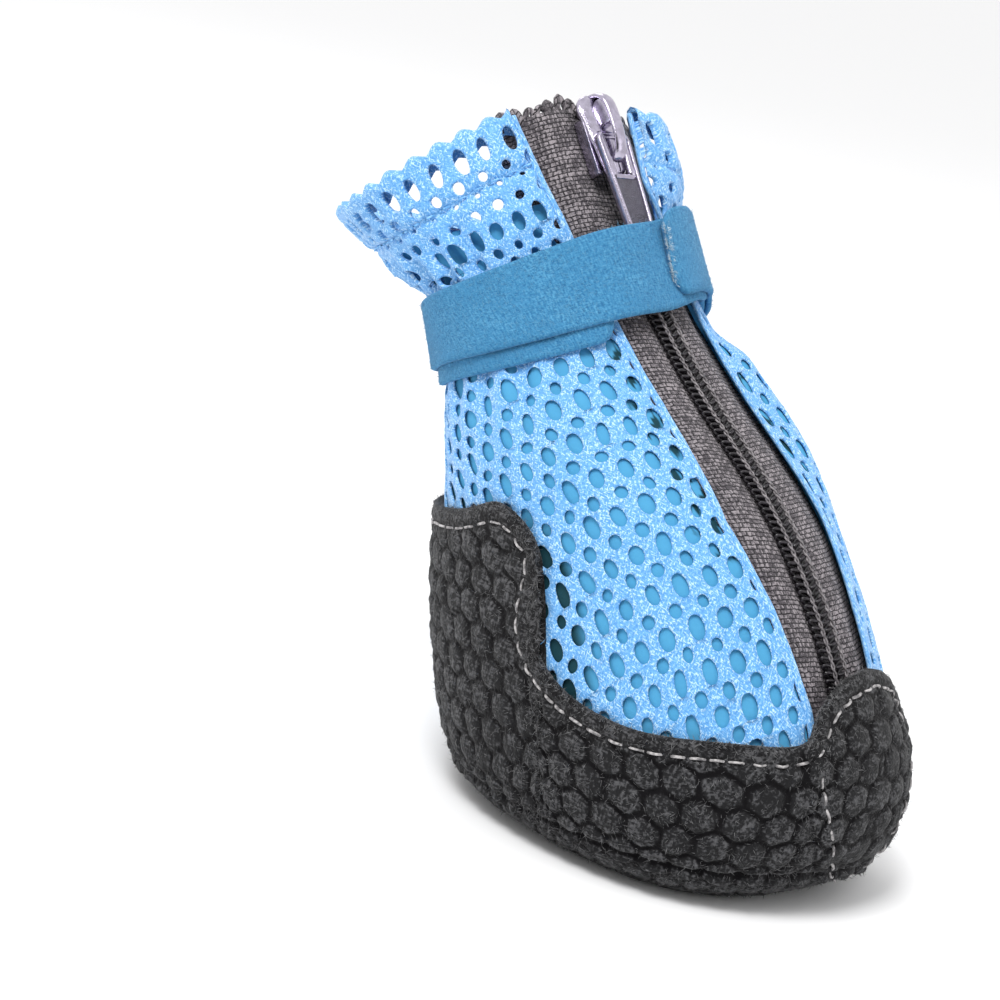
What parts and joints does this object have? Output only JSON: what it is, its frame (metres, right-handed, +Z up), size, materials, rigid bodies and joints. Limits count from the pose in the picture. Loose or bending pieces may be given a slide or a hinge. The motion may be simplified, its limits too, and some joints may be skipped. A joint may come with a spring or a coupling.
{
  "type": "dog boot",
  "caption": "Dog boot with an air-mesh upper, a front zip with slider and pull tab, a padded cup sole with hexagonal pads, and a hook-and-loop ankle strap.",
  "frame": {"origin": "the middle of the bottom of the bounding box, under the boot as it stands on its sole", "axes": "+Z up, -Y towards the toe, +X towards the right side of the boot as seen from in front of its zip"},
  "size_m": [0.0722, 0.1379, 0.1239],
  "materials": {
    "sole": "fuzzy matte with hexagonal pads",
    "insole": "matte knit",
    "upper": "open knitted air mesh",
    "zip_tape": "woven tape",
    "zip_coil": "satin coil",
    "zip_metal": "bright dark nickel",
    "strap": "brushed loop cloth"
  },
  "bodies": {
    "boot": {"sole": "sole", "insole": "insole", "upper": "upper", "zip_tape_left": "zip_tape", "zip_tape_right": "zip_tape", "zip_coil": "zip_coil", "zip_slider": "zip_metal", "strap": "strap"},
    "pull_tab": {"zip_pull": "zip_metal"}
  },
  "joints": [
    {"name": "pull_tab_hinge", "type": "hinge", "parent": "boot", "child": "pull_tab", "pos_m": [0, 0.01892, 0.11772], "axis": [-1, 0, 0], "range_deg": [0, 2]}
  ]
}
